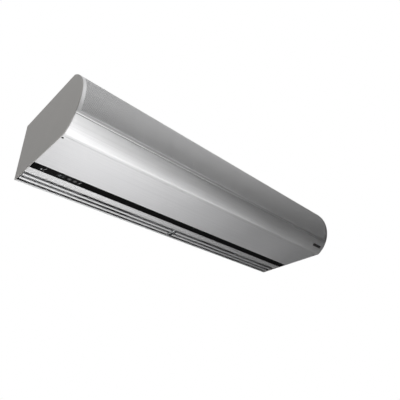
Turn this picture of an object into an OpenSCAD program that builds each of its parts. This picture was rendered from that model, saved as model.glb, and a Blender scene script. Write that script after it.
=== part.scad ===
// Wall-mounted air curtain with a curved perforated intake, a flat service panel
// and an adjustable two-vane discharge nozzle along the wall side of its underside.
// X runs along the length, the wall plane is y = 0 with the front towards -Y, and
// +Z is up. The origin is the centre of the four wall bolts.

/* [Casing] */
// Overall length, end cap to end cap
casing_l = 1220; // [1000:10:1600]
// Overall height
casing_h = 209; // [206:1:216]
// Radius of the curved front less half the casing's height
nose_excess = 14.5; // [12:0.5:20]
// Distance from the wall to the centre of the curved front
nose_f = 246; // [240:1:260]
// Thickness of the end caps
cap_t = 2.5; // [1.5:0.5:4]
// Thickness of the casing panels
panel_t = 2; // [1:0.25:2.5]
// Length of the end caps' bent flanges
flange_l = 12; // [10:1:16]
// Thickness of the bent flanges
flange_t = 1.5; // [1:0.25:2]
// Gap between a removable panel and its neighbours
panel_gap = 0.3; // [0.2:0.1:0.8]

/* [Intake grille] */
// Angle of the seam between grille and lower panel, below the horizontal
seam_angle = 32.5; // [28:0.5:38]
// Radius of the grille's hinge barrel
barrel_r = 3; // [2.5:0.25:4]
// Radius of the grille's hinge pins
hinge_pin_r = 1.5; // [1:0.1:2]
// Length of each hinge pin
hinge_pin_l = 16; // [10:1:24]
// Width of the plain border round the perforated field
border_w = 12; // [8:1:16]
// Number of perforated columns along the length
slot_columns = 22; // [12:1:28]
// Number of perforated rows round the curve
slot_rows = 9; // [5:1:11]
// Bar left between two columns
column_bar = 8; // [5:1:14]
// Height of one slot round the curve
slot_h = 9; // [5:1:10]
// Thickness of the filter frame
filter_frame_t = 4; // [3:0.5:5]
// Thickness of the filter mesh
filter_mesh_t = 0.8; // [0.6:0.1:1.5]
// Number of openings in the filter frame
filter_bays = 6; // [3:1:8]

/* [Underside] */
// Width of the lower front panel's flat along the underside
front_flat_w = 12.5; // [11:0.5:16]
// Distance from the wall to the front edge of the control strip
strip_front_f = 129.5; // [126:0.5:136]
// Width of the control strip
strip_w = 32.8; // [30:0.2:36]
// Recess of the control strip
strip_recess = 1.5; // [1:0.1:1.9]
// Height of the control strip's side walls
strip_wall_h = 13; // [12:1:18]
// Distance from the wall to the air gap's front wall
nozzle_front_f = 66; // [65:0.5:68]
// Distance from the wall to the air gap's rear wall
nozzle_rear_f = 7.5; // [7:0.25:8]
// Thickness of the nozzle rails' walls
rail_t = 1.8; // [1.4:0.1:2.2]
// Width of the ridges along the front nozzle rail
ridge_w = 2.6; // [2:0.1:3.5]
// Height of the nozzle above the underside
nozzle_h = 60.5; // [58:0.5:62]

/* [Vanes] */
// Distance from the wall to the front vane
vane_front_f = 42; // [41.5:0.5:43]
// Distance from the wall to the rear vane
vane_rear_f = 19; // [18.75:0.25:19.5]
// Height of a vane
vane_h = 40; // [36:1:42]
// Thickness of a vane
vane_t = 2.4; // [2:0.1:3]
// Radius of the boss that holds a vane's pins
vane_boss_r = 3.6; // [3.2:0.1:4]
// Radius of the rounded foot along a vane's lower edge
vane_foot_r = 5.5; // [4.5:0.25:5.75]
// Radius of the vane pins
vane_pin_r = 1.6; // [1.2:0.1:2]
// Depth of a pin in its vane
vane_pin_grip = 14; // [8:1:20]
// Gap between a vane's end and the end cap
vane_end_gap = 3.8; // [3:0.1:6]
// Place of the centre bracket along the length
bracket_x = -10; // [-40:1:40]
// Thickness of the centre bracket
bracket_t = 3; // [2:0.5:4]
// Length of the notch in each vane at the centre bracket
notch_l = 23; // [18:1:30]
// Running clearance of pins and shafts, on the radius
running_fit = 0.05; // [0.03:0.01:0.08]

/* [Controls] */
// Distance from the left end to the keypad plate
keypad_from_end = 24; // [16:1:60]
// Length of the keypad plate
keypad_l = 136; // [130:1:160]
// Thickness of the keypad plate
keypad_t = 1; // [0.8:0.1:1.2]
// Distance from the left end to the indicator lamp
lamp_from_end = 34; // [32:1:36]
// Radius of the indicator lamp
lamp_r = 2; // [1.5:0.1:3]
// Distance from the left end to the first push-button
button_from_end = 120.5; // [118:0.5:124]
// Distance between the two push-buttons
button_pitch = 18.5; // [17:0.5:24]
// Radius of a push-button
button_r = 6; // [5:0.25:7]
// Travel of a push-button
button_travel = 1; // [0.5:0.1:1.2]
// Length of the display window
display_l = 26; // [20:1:30]
// Width of the display window
display_w = 14; // [10:1:18]

/* [Blowers] */
// Height of the fan shaft above mid-height
shaft_z = -2; // [-3:0.5:-1]
// Radius of the fan shaft
shaft_r = 8; // [6:0.5:9]
// Gap between the blower wheels and the height of the casing's top
wheel_margin = 44.5; // [43.5:0.5:48]
// Radius of the blower housings at their rear wall, over half the casing's height
scroll_excess = 7.5; // [4:0.5:8]
// Number of blades on a wheel
blades = 32; // [20:1:40]
// Depth of the blades
blade_depth = 12; // [9:1:15]
// Thickness of a blade
blade_t = 1.2; // [1:0.1:1.6]
// Thickness of the wheel's disc and end rings
disc_t = 3; // [2:0.5:4]
// Gap between a wheel's end and its housing
wheel_gap = 6.5; // [5:0.5:12]
// Gap between a housing and the motor's hub
motor_gap = 64; // [40:2:90]
// Gap between a housing and the outboard bearing
bearing_gap = 37; // [30:1:60]
// Sheet thickness of the blower housings and brackets
sheet_t = 1.5; // [1:0.1:1.5]
// Gap between wheel and housing at the cut-off
cutoff_gap = 6; // [4:0.5:7]
// Distance from the wall to the inside of the housing's rear wall
scroll_rear_f = 18; // [17:0.5:20]
// Angle of the cut-off, round from the front
cutoff_angle = 205; // [202:1:208]

/* [Motor] */
// Outer radius of the motor
motor_r = 62; // [50:1:66]
// Length of the motor's shell
motor_l = 150; // [120:2:170]
// Wall of the motor's shell
motor_wall = 2; // [1.5:0.5:4]
// Length of each end bell with its hub
bell_l = 38; // [34:1:44]
// Radius of an end bell's hub
hub_r = 19; // [17:0.5:21]
// Outer radius of the ball bearings
bearing_r = 15; // [13:0.5:16]
// Width of the ball bearings
bearing_w = 9; // [7:0.5:12]
// Wall of the rubber ring round each hub
ring_wall = 6; // [4:0.5:8]
// Radius of the motor's rotor
rotor_r = 34; // [26:1:40]
// Length of the rotor and of the stator's core
core_l = 90; // [70:2:100]
// Distance from each end of the casing to the outboard bearing
bearing_from_end = 180; // [160:2:190]

/* [Electrical] */
// Length of the terminal box
box_l = 100; // [80:5:120]
// Depth of the terminal box
box_d = 100; // [80:5:110]
// Height of the terminal box
box_h = 80; // [60:5:90]
// Distance from the wall to the terminal box
box_f = 150; // [145:1:155]
// Height of the terminal box's underside above the casing's
box_lift = 44; // [40:1:50]
// Radius of the run capacitor
capacitor_r = 20; // [15:1:22]
// Length of the run capacitor
capacitor_l = 110; // [80:5:130]
// Gap between the motor's cradle and the run capacitor
capacitor_gap = 50; // [45:1:52]
// Radius of the cable's way through the grommet
cable_r = 7; // [5:0.5:9]
// Distance from the left end to the cable entry
cable_from_end = 50; // [40:1:60]

/* [Mounting] */
// Distance from each end of the casing to the wall bolts
bolt_from_end = 90; // [70:5:100]
// Distance from the top and from the underside to the wall bolts
bolt_from_edge = 74.5; // [72:0.5:80]
// Radius of the wall bolt holes
wall_hole_r = 4.5; // [3.5:0.25:5.5]
// Distance from the centre of the curved front back to the front suspension holes
hang_front_gap = 6; // [0:1:20]
// Distance from the wall to the rear suspension holes
hang_rear_f = 60; // [55:1:70]
// Radius of the suspension holes
hang_hole_r = 4.2; // [3.2:0.1:5]
// Width of the stiffening brackets behind the bolts
stiffener_w = 40; // [30:1:50]

/* [Hidden] */
$fn = 64;

silver = "#b9babb";
dark_silver = "#8d8e90";
black = "#151617";
zinc = "#9aa0a5";

cut = 1;
half_l = casing_l / 2;
half_h = casing_h / 2;
nose_r = half_h + nose_excess;
inner_x = half_l - cap_t;
panel_x = inner_x - panel_gap;
wall_pitch_x = casing_l - 2 * bolt_from_end;
wall_pitch_z = casing_h - 2 * bolt_from_edge;
hang_pitch_f = nose_f - hang_front_gap - hang_rear_f;
flange_margin = 20;
nut_r = 7.5;
nut_h = 6.5;

grille_inner_r = nose_r - panel_t;
hinge_z = half_h - barrel_r;
hinge_f = nose_f + sqrt(pow(nose_r - barrel_r, 2) - pow(hinge_z, 2));
hinge_angle = atan2(hinge_z, hinge_f - nose_f);
corner_angle = asin(half_h / nose_r);
nose_corner_f = nose_f + nose_r * cos(corner_angle);
service_front_f = nose_corner_f - front_flat_w;
top_front_f = hinge_f - barrel_r - panel_gap;
degrees_per_length = 180 / PI / nose_r;
seam_half_gap_angle = degrees_per_length * panel_gap;
field_top_angle = hinge_angle - degrees_per_length * border_w * 1.4;
field_low_angle = -seam_angle + degrees_per_length * border_w;
lip_reach = 10;
lip_t = 2;
ledge_w = 13;
screw_head_r = 3.4;
screw_shank_r = 1.7;
screw_reach = 6;

strip_rear_f = strip_front_f - strip_w;
strip_web_z = -half_h + strip_recess;
rail_recess = 1;
vane_z = -half_h + vane_h / 2 + rail_recess / 2;
deck_z = -half_h + nozzle_h;
lug_over_axis = 6;
notch_over_axis = 8;
end_bracket_rise = 16;
end_bracket_drop = 14;

button_flange_r = button_r + 1.5;
button_flange_t = 1;
button_clear = 0.3;
button_body_h = 6;
board_z = strip_web_z + panel_t + 6.2;
board_t = 1.6;
board_margin = 1.2;
switch_gap = 0.3;
switch_w = 6;

wheel_r = half_h - wheel_margin;
scroll_r1 = half_h + scroll_excess;
shaft_f = scroll_rear_f + scroll_r1;
bell_x = motor_l / 2;
outboard_x = half_l - bearing_from_end;
housing_x0 = bell_x + bell_l + motor_gap;
housing_x1 = outboard_x - bearing_gap;
housing_l = housing_x1 - housing_x0;
housing_inner_l = housing_l - 2 * sheet_t;
wheel_x = (housing_x0 + housing_x1) / 2;
wheel_l = housing_inner_l - 2 * wheel_gap;
scroll_r0 = wheel_r + cutoff_gap;
scroll_end = 540;
scroll_steps = 40;
outlet_front_f = shaft_f + scroll_r0 * cos(cutoff_angle) - cutoff_gap;
inlet_r = wheel_r - blade_depth + 2;
wheel_hub_r = 16;
wheel_hub_l = 24;
set_screw_r = 2.5;
shaft_overhang = 14;
cradle_w = 56;
cradle_t = 3;
bracket_foot = 40;
stator_gap = 0.6;

// Box from x0 to x1 along the length, f0 to f1 from the wall, z0 to z1 up
module block(x0, x1, f0, f1, z0, z1)
    translate([x0, -f1, z0]) cube([x1 - x0, f1 - f0, z1 - z0]);

// Outline drawn as (distance from the wall, height), pulled from x0 to x1
module along(x0, x1)
    translate([x1, 0, 0]) rotate([90, 0, -90]) linear_extrude(x1 - x0) children();

// Rod along the length
module rod(x0, x1, f, z, r)
    translate([x0, -f, z]) rotate([0, 90, 0]) cylinder(h = x1 - x0, r = r);

// Upright rod
module post(x, f, z0, z1, r)
    translate([x, -f, z0]) cylinder(h = z1 - z0, r = r);

// Slice of a disc between two angles, with straight cuts that pass its rim
module wedge(a0, a1, reach)
    polygon([[0, 0], for (k = [0 : 4]) let (a = a0 + (a1 - a0) * k / 4)
        2 * reach * [cos(a), sin(a)]]);

// Curved strip of the nose between two radii and two angles
module nose_strip(r0, r1, a0, a1)
    translate([nose_f, 0]) intersection() {
        difference() {
            circle(r = r1, $fn = 180);
            circle(r = r0, $fn = 180);
        }
        wedge(a0, a1, r1);
    }

// Side outline of the whole casing
module casing_outline() {
    translate([0, -half_h]) square([nose_f, casing_h]);
    intersection() {
        translate([nose_f, 0]) circle(r = nose_r, $fn = 180);
        translate([nose_f, -half_h]) square([nose_r + cut, casing_h]);
    }
}

// Top and back of the casing, one folded sheet
module chassis() {
    front_lip_h = 10;
    color(zinc) difference() {
        union() {
            block(-inner_x, inner_x, 0, panel_t, -half_h, half_h);
            block(-inner_x, inner_x, panel_t, top_front_f, half_h - panel_t, half_h);
            block(-panel_x, panel_x, top_front_f - panel_t, top_front_f,
                half_h - panel_t - front_lip_h, half_h - panel_t);
        }
        for (x = [-1, 1] * wall_pitch_x / 2, z = [-1, 1] * wall_pitch_z / 2)
            translate([x, cut, z]) rotate([90, 0, 0])
                cylinder(h = panel_t + 2 * cut, r = wall_hole_r);
        for (x = [-1, 1] * wall_pitch_x / 2, f = [0, 1] * hang_pitch_f)
            post(x, hang_rear_f + f, half_h - panel_t - cut, half_h + cut, hang_hole_r);
        casing_screw_places() post(0, 0, half_h - panel_t - cut, half_h + cut, screw_head_r);
        translate([cable_x, cut, 0]) rotate([90, 0, 0])
            cylinder(h = panel_t + 2 * cut, r = grommet_r);
    }
}
cable_x = -half_l + cable_from_end;
grommet_wall = 2.5;
grommet_r = cable_r + grommet_wall;

// Where the screws through the top of the casing stand
module casing_screw_places() {
    first_f = hang_rear_f;
    last_f = top_front_f - 3 * flange_margin;
    for (x = [-1, 1] * (inner_x - flange_l / 2), k = [0 : 2])
        translate([x, -(first_f + (last_f - first_f) * k / 2), 0]) children();
}

// Flat end plate with three flanges bent inwards; side is -1 left, 1 right
module end_cap(side) {
    top_flange = [flange_margin, top_front_f - flange_margin];
    back_flange = [deck_z + flange_margin, half_h - flange_margin];
    low_flange = [strip_front_f + flange_margin / 2, service_front_f - ledge_w - flange_margin / 2];
    outer = side * half_l;
    inner = side * inner_x;
    flange_end = side * (inner_x - flange_l);
    lo = min(inner, flange_end);
    hi = max(inner, flange_end);
    color(silver) difference() {
        union() {
            along(min(inner, outer), max(inner, outer)) casing_outline();
            block(lo, hi, top_flange[0], top_flange[1],
                half_h - panel_t - flange_t, half_h - panel_t);
            block(lo, hi, panel_t, panel_t + flange_t, back_flange[0], back_flange[1]);
            block(lo, hi, low_flange[0], low_flange[1],
                -half_h + panel_t, -half_h + panel_t + flange_t);
        }
        casing_screw_places()
            post(0, 0, half_h - panel_t - flange_t - cut, half_h - panel_t + cut / 2,
                screw_shank_r);
        rod(-half_l + cap_t / 2, half_l - cap_t / 2, hinge_f, hinge_z, hinge_pin_r);
    }
}
module end_cap_left() end_cap(-1);
module end_cap_right() end_cap(1);

// Flush-headed screws through the top into the end caps' flanges
module casing_screws()
    color(dark_silver) casing_screw_places() {
        post(0, 0, half_h - panel_t, half_h, screw_head_r);
        post(0, 0, half_h - panel_t - screw_reach, half_h - panel_t, screw_shank_r);
    }

// Angle brackets inside the back and top, which carry the bolts' load
module stiffener_brackets() {
    top_end_f = hang_rear_f + hang_pitch_f + stiffener_w / 2;
    color(zinc) for (x = [-1, 1] * wall_pitch_x / 2) difference() {
        union() {
            block(x - stiffener_w / 2, x + stiffener_w / 2, panel_t, 2 * panel_t,
                deck_z + panel_t, half_h - panel_t);
            block(x - stiffener_w / 2, x + stiffener_w / 2, 2 * panel_t, top_end_f,
                half_h - 2 * panel_t, half_h - panel_t);
        }
        for (z = [-1, 1] * wall_pitch_z / 2)
            translate([x, cut, z]) rotate([90, 0, 0])
                cylinder(h = 2 * panel_t + 2 * cut, r = wall_hole_r);
        for (f = [0, 1] * hang_pitch_f)
            post(x, hang_rear_f + f, half_h - 2 * panel_t - cut, half_h, hang_hole_r);
    }
}

// Nuts under the brackets, for hanging rods
module suspension_nuts() {
    nut_top = half_h - 2 * panel_t;
    color(zinc) for (x = [-1, 1] * wall_pitch_x / 2, f = [0, 1] * hang_pitch_f) difference() {
        translate([x, -hang_rear_f - f, nut_top - nut_h]) cylinder(h = nut_h, r = nut_r, $fn = 6);
        post(x, hang_rear_f + f, nut_top - nut_h - cut, nut_top + cut, hang_hole_r);
    }
}

// Perforated curved grille, hinged along its top edge
module intake_grille() {
    field_x = panel_x - border_w;
    column_pitch = 2 * field_x / slot_columns;
    row_angle = (field_top_angle - field_low_angle) / slot_rows;
    color(silver) difference() {
        union() {
            along(-panel_x, panel_x)
                nose_strip(grille_inner_r, nose_r, -seam_angle + seam_half_gap_angle, hinge_angle);
            rod(-panel_x, panel_x, hinge_f, hinge_z, barrel_r);
        }
        rod(-panel_x - cut, -panel_x + hinge_pin_l, hinge_f, hinge_z, hinge_pin_r + running_fit);
        rod(panel_x - hinge_pin_l, panel_x + cut, hinge_f, hinge_z, hinge_pin_r + running_fit);
        for (c = [0 : slot_columns - 1], r = [0 : slot_rows - 1])
            translate([-field_x + (c + 0.5) * column_pitch, -nose_f, 0])
                rotate([-(field_low_angle + (r + 0.5) * row_angle), 0, 0])
                    translate([-(column_pitch - column_bar) / 2, -nose_r - cut, -slot_h / 2])
                        cube([column_pitch - column_bar, panel_t + 2 * cut, slot_h]);
    }
}

// Pins from the end caps into the grille's barrel
module grille_hinge_pins()
    color(dark_silver) for (s = [-1, 1])
        rod(min(s * (inner_x + cap_t / 2), s * (panel_x - hinge_pin_l + cut)),
            max(s * (inner_x + cap_t / 2), s * (panel_x - hinge_pin_l + cut)),
            hinge_f, hinge_z, hinge_pin_r);

filter_top_angle = field_top_angle + degrees_per_length * 6;
filter_low_angle = field_low_angle - degrees_per_length * 1.5;
filter_x = panel_x - border_w / 2;

// Frame of the washable filter, lying against the grille's border
module filter_frame() {
    bay_pitch = 2 * (filter_x - border_w) / filter_bays;
    rim_angle = degrees_per_length * 8;
    color(dark_silver) difference() {
        along(-filter_x, filter_x) nose_strip(grille_inner_r - filter_frame_t, grille_inner_r,
            filter_low_angle, filter_top_angle);
        for (b = [0 : filter_bays - 1])
            along(-filter_x + border_w + b * bay_pitch + column_bar / 2,
                -filter_x + border_w + (b + 1) * bay_pitch - column_bar / 2)
                nose_strip(grille_inner_r - filter_frame_t - cut, grille_inner_r + cut,
                    filter_low_angle + rim_angle, filter_top_angle - rim_angle);
    }
}

// Filter mesh across the back of its frame
module filter_mesh()
    color("#3a3c3e") along(-filter_x, filter_x)
        nose_strip(grille_inner_r - filter_frame_t - filter_mesh_t,
            grille_inner_r - filter_frame_t, filter_low_angle, filter_top_angle);

// Solid curved panel under the grille, which turns the corner to the underside
module lower_front_panel() {
    lip_angle = degrees_per_length * lip_reach;
    ledge_top = -half_h + panel_t + lip_t;
    color(silver) along(-panel_x, panel_x) {
        nose_strip(grille_inner_r, nose_r, -corner_angle, -seam_angle - seam_half_gap_angle);
        nose_strip(grille_inner_r - lip_t - panel_gap, grille_inner_r,
            -seam_angle - lip_angle, -seam_angle - seam_half_gap_angle);
        nose_strip(grille_inner_r - lip_t - panel_gap, grille_inner_r - panel_gap,
            -seam_angle - seam_half_gap_angle, -seam_angle + lip_angle / 2);
        intersection() {
            translate([service_front_f + panel_gap, -half_h])
                square([nose_corner_f, panel_t + cut / 2]);
            translate([nose_f, 0]) circle(r = nose_r, $fn = 180);
        }
        intersection() {
            translate([service_front_f - ledge_w, -half_h + panel_t])
                square([nose_corner_f, lip_t]);
            translate([nose_f, 0]) circle(r = nose_r, $fn = 180);
        }
    }
}

bottom_screw_x = half_l - 7.6;
bottom_screw_f = service_front_f - 9;

// Flat service panel
module bottom_panel() {
    rear_f = strip_front_f + panel_gap;
    upturn_h = 10;
    color(silver) difference() {
        union() {
            block(-panel_x, panel_x, rear_f, service_front_f, -half_h, -half_h + panel_t);
            block(-panel_x + flange_l, panel_x - flange_l, rear_f, rear_f + panel_t,
                -half_h + panel_t, -half_h + panel_t + upturn_h);
        }
        for (x = [-1, 1] * bottom_screw_x)
            post(x, bottom_screw_f, -half_h - cut, -half_h + panel_t + cut, screw_head_r);
    }
}

// Flush-headed screws that hold the service panel to the ledge
module bottom_screws()
    color("#4a4b4d") for (x = [-1, 1] * bottom_screw_x)
        post(x, bottom_screw_f, -half_h, -half_h + panel_t, screw_head_r);

// Blank plate near the right end of the lower front panel
module badge_plate() {
    plate_l = 55;
    from_end = 22;
    plate_t = 0.6;
    low_angle = 49;
    high_angle = 43.5;
    color(black) along(half_l - from_end - plate_l, half_l - from_end)
        nose_strip(nose_r, nose_r + plate_t, -low_angle, -high_angle);
}

keypad_x0 = -half_l + keypad_from_end;
keypad_x1 = keypad_x0 + keypad_l;
keypad_f0 = strip_rear_f + panel_gap + rail_t;
keypad_f1 = strip_front_f - panel_gap - rail_t;
keypad_f = (keypad_f0 + keypad_f1) / 2;
button_up_x = -half_l + button_from_end;
button_down_x = button_up_x + button_pitch;
display_x = button_up_x - button_r - display_l / 2 - 8;
lamp_x = -half_l + lamp_from_end;
lamp_f = keypad_f - 5;

// Holes through the keypad plate and the strip for lamp, display and buttons
module keypad_holes(z0, z1, display_margin) {
    for (x = [button_up_x, button_down_x])
        post(x, keypad_f, z0, z1, button_r + button_clear);
    post(lamp_x, lamp_f, z0, z1, lamp_r);
    block(display_x - display_l / 2 + display_margin, display_x + display_l / 2 - display_margin,
        keypad_f - display_w / 2 + display_margin, keypad_f + display_w / 2 - display_margin,
        z0, z1);
}

// Black channel along the underside, which carries the controls
module control_strip() {
    color(black) difference() {
        union() {
            block(-panel_x, panel_x, strip_rear_f + panel_gap, strip_front_f,
                strip_web_z, strip_web_z + panel_t);
            for (f = [strip_rear_f + panel_gap, strip_front_f - rail_t])
                block(-panel_x + flange_l, panel_x - flange_l, f, f + rail_t,
                    strip_web_z + panel_t, strip_web_z + strip_wall_h);
        }
        keypad_holes(strip_web_z - cut, strip_web_z + panel_t + cut, keypad_t);
    }
}

// Plate that frames the controls
module keypad_plate()
    color("#26282a") difference() {
        block(keypad_x0, keypad_x1, keypad_f0, keypad_f1, strip_web_z - keypad_t, strip_web_z);
        keypad_holes(strip_web_z - keypad_t - cut, strip_web_z + cut, 0);
    }

// Smoked window over the speed display
module display_window()
    color("#0c1013") block(display_x - display_l / 2, display_x + display_l / 2,
        keypad_f - display_w / 2, keypad_f + display_w / 2, strip_web_z - keypad_t, strip_web_z);

// Lamp lens
module indicator_lens()
    color("white") post(lamp_x, lamp_f, strip_web_z - keypad_t, strip_web_z + panel_t, lamp_r);

// Round push-button with a keeping flange above the strip
module push_button(x) {
    color("#3c3e40") {
        post(x, keypad_f, strip_web_z - keypad_t - button_clear / 2,
            strip_web_z + panel_t + switch_gap / 2, button_r);
        post(x, keypad_f, strip_web_z + panel_t + switch_gap / 2,
            strip_web_z + panel_t + switch_gap / 2 + button_flange_t, button_flange_r);
    }
}
module button_up() push_button(button_up_x);
module button_down() push_button(button_down_x);

// Switches on the board, one above each button
module button_switches() {
    switch_z0 = strip_web_z + panel_t + switch_gap / 2 + button_flange_t + button_travel
        + switch_gap;
    color(black) for (x = [button_up_x, button_down_x])
        block(x - switch_w / 2, x + switch_w / 2, keypad_f - switch_w / 2,
            keypad_f + switch_w / 2, switch_z0, board_z);
}

// Circuit board inside the control strip
module control_board()
    color("#1f5a36") block(keypad_x0, keypad_x1,
        strip_rear_f + panel_gap + rail_t + board_margin, strip_front_f - rail_t - board_margin,
        board_z, board_z + board_t);

// Posts that hold the board above the strip
module board_standoffs() {
    post_r = 2.5;
    color(zinc) for (x = [keypad_x0 + 2 * post_r, keypad_x1 - 2 * post_r],
            f = [keypad_f0 + 2 * post_r, keypad_f1 - 2 * post_r])
        post(x, f, strip_web_z + panel_t, board_z, post_r);
}

// Front wall of the nozzle with a ridged flat along the underside
module nozzle_rail_front() {
    rail_front_f = strip_rear_f - panel_gap;
    front_ridge_h = 8;
    web_z = -half_h + rail_recess;
    color(silver) {
        block(-panel_x, panel_x, nozzle_front_f + rail_t, rail_front_f - ridge_w,
            web_z, web_z + rail_t);
        block(-panel_x, panel_x, nozzle_front_f, nozzle_front_f + rail_t, -half_h, deck_z);
        block(-panel_x, panel_x, nozzle_front_f + rail_t, nozzle_front_f + ridge_w,
            -half_h, web_z);
        block(-panel_x, panel_x, rail_front_f - ridge_w, rail_front_f,
            -half_h, -half_h + front_ridge_h);
    }
}

// Rear wall of the nozzle with a foot against the back
module nozzle_rail_rear()
    color(silver) {
        block(-panel_x, panel_x, nozzle_rear_f - rail_t, nozzle_rear_f, -half_h, deck_z);
        block(-panel_x, panel_x, panel_t, nozzle_rear_f - rail_t, -half_h, -half_h + rail_t);
        block(-panel_x, panel_x, panel_t, nozzle_rear_f - rail_t, deck_z - rail_t, deck_z);
    }

vane_x = inner_x - vane_end_gap;

// Extruded vane: a thin blade with a boss for its pins, widening to a rounded foot
module vane(f)
    color(silver) difference() {
        along(-vane_x, vane_x) difference() {
            union() {
                translate([f - vane_t / 2, vane_z]) square([vane_t, (vane_h - vane_t) / 2]);
                translate([f, vane_z + (vane_h - vane_t) / 2]) circle(r = vane_t / 2);
                translate([f, vane_z]) circle(r = vane_boss_r);
                hull() {
                    translate([f, vane_z - vane_h / 2 + vane_foot_r]) circle(r = vane_foot_r);
                    translate([f, vane_z]) circle(r = vane_t / 2);
                }
            }
            translate([f, vane_z]) circle(r = vane_pin_r);
        }
        block(bracket_x - notch_l / 2, bracket_x + notch_l / 2, f - vane_foot_r - cut,
            f + vane_foot_r + cut, vane_z - vane_h / 2 - cut, vane_z + notch_over_axis);
    }
module vane_front() vane(vane_front_f);
module vane_rear() vane(vane_rear_f);

// Two end pins and a longer centre pin, pressed into the vane's boss
module vane_pins(f) {
    pin_end = inner_x - running_fit * 2;
    color(dark_silver) {
        rod(-pin_end, -vane_x + vane_pin_grip, f, vane_z, vane_pin_r);
        rod(vane_x - vane_pin_grip, pin_end, f, vane_z, vane_pin_r);
        rod(bracket_x - notch_l / 2 - vane_pin_grip, bracket_x + notch_l / 2 + vane_pin_grip,
            f, vane_z, vane_pin_r);
    }
}
module vane_pins_front() vane_pins(vane_front_f);
module vane_pins_rear() vane_pins(vane_rear_f);

// Bores for the vane pins
module vane_bores(x0, x1)
    for (f = [vane_front_f, vane_rear_f]) rod(x0, x1, f, vane_z, vane_pin_r + running_fit);

// Plastic bearing plates at the vanes' ends
module vane_end_brackets() {
    plate_t = vane_end_gap - panel_gap;
    color(black) for (s = [-1, 1]) {
        lo = min(s * inner_x, s * (inner_x - plate_t));
        hi = max(s * inner_x, s * (inner_x - plate_t));
        difference() {
            block(lo, hi, nozzle_rear_f, nozzle_front_f,
                vane_z - end_bracket_drop, vane_z + end_bracket_rise);
            vane_bores(lo - cut, hi + cut);
            for (side = [-1, 1])
                block(side * panel_x - panel_gap, side * panel_x + panel_gap,
                    0, nozzle_rear_f, vane_z - cut, vane_z);
        }
    }
}

// Plate across the nozzle that carries both vanes at their notches
module vane_centre_bracket() {
    x0 = bracket_x - bracket_t / 2;
    x1 = bracket_x + bracket_t / 2;
    drop = 15;
    color(zinc) difference() {
        block(x0, x1, nozzle_rear_f, nozzle_front_f, vane_z - drop, vane_z + lug_over_axis);
        vane_bores(x0 - cut, x1 + cut);
    }
}

// Plate over the nozzle with an opening under each blower
module blower_deck() {
    deck_margin = 2;
    color(zinc) difference() {
        block(-panel_x, panel_x, panel_t, nozzle_front_f + rail_t, deck_z, deck_z + panel_t);
        for (x = [-1, 1] * wheel_x)
            block(x - housing_inner_l / 2, x + housing_inner_l / 2, scroll_rear_f,
                outlet_front_f, deck_z - cut, deck_z + panel_t + cut);
        for (s = [-1, 1])
            block(min(s * (inner_x - flange_l - deck_margin), s * (inner_x + cut)),
                max(s * (inner_x - flange_l - deck_margin), s * (inner_x + cut)),
                0, panel_t + flange_t + deck_margin, deck_z - cut, deck_z + panel_t + cut);
    }
}

// Spiral outline of the blower housing, grown by the given thickness
module scroll_outline(grow, foot_z) {
    function radius(a) = scroll_r0 + grow
        + (scroll_r1 - scroll_r0) * (a - cutoff_angle) / (scroll_end - cutoff_angle);
    polygon([
        [scroll_rear_f - grow, foot_z],
        [outlet_front_f + grow, foot_z],
        for (k = [0 : scroll_steps])
            let (a = cutoff_angle + (scroll_end - cutoff_angle) * k / scroll_steps)
                [shaft_f + radius(a) * cos(a), shaft_z + radius(a) * sin(a)]]);
}

// Sheet-metal scroll with an inlet each side and its outlet down
module blower_housing(x) {
    foot_z = deck_z + panel_t;
    color(zinc) difference() {
        along(x - housing_l / 2, x + housing_l / 2) scroll_outline(sheet_t, foot_z);
        along(x - housing_inner_l / 2, x + housing_inner_l / 2) scroll_outline(0, foot_z - cut);
        rod(x - housing_l / 2 - cut, x + housing_l / 2 + cut, shaft_f, shaft_z, inlet_r);
    }
}
module blower_housing_left() blower_housing(-wheel_x);
module blower_housing_right() blower_housing(wheel_x);

// Section of one forward-curved blade
module blade() {
    steps = 5;
    lean = 16;
    root_share = 0.2;
    function mid(k) = let (t = k / steps, r = wheel_r - blade_depth * (1 - t))
        r * [cos(lean * pow(t, 2) - root_share * lean), sin(lean * pow(t, 2) - root_share * lean)];
    polygon([
        for (k = [0 : steps]) mid(k) + [0, -blade_t / 2],
        for (k = [steps : -1 : 0]) mid(k) + [0, blade_t / 2]]);
}

// Double-inlet blower wheel on its hub
module blower_wheel(x) {
    rim_w = 5;
    color("#6f7478") difference() {
        union() {
            along(x - wheel_l / 2, x + wheel_l / 2) translate([shaft_f, shaft_z])
                for (k = [0 : blades - 1]) rotate(360 * k / blades) blade();
            along(x - disc_t / 2, x + disc_t / 2)
                translate([shaft_f, shaft_z]) circle(r = wheel_r - blade_depth + 2 * blade_t);
            for (e = [x - wheel_l / 2, x + wheel_l / 2 - disc_t])
                along(e, e + disc_t) translate([shaft_f, shaft_z]) difference() {
                    circle(r = wheel_r + blade_t / 2);
                    circle(r = wheel_r - rim_w);
                }
            rod(x - wheel_hub_l / 2, x + wheel_hub_l / 2, shaft_f, shaft_z, wheel_hub_r);
        }
        rod(x - wheel_hub_l, x + wheel_hub_l, shaft_f, shaft_z, shaft_r);
        set_screw(x);
    }
}
module blower_wheel_left() blower_wheel(-wheel_x);
module blower_wheel_right() blower_wheel(wheel_x);

// Radial screw through a wheel's hub down to the shaft
module set_screw(x)
    post(x + wheel_hub_l / 3, shaft_f, shaft_z + shaft_r, shaft_z + wheel_hub_r, set_screw_r);
module wheel_set_screws()
    color("#303236") for (x = [-wheel_x, wheel_x]) intersection() {
        set_screw(x);
        difference() {
            rod(x, x + wheel_hub_l / 2, shaft_f, shaft_z, wheel_hub_r);
            rod(x, x + wheel_hub_l / 2, shaft_f, shaft_z, shaft_r);
        }
    }

// Shaft through motor and wheels
module fan_shaft()
    color("silver") rod(-outboard_x - shaft_overhang, outboard_x + shaft_overhang,
        shaft_f, shaft_z, shaft_r);

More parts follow.
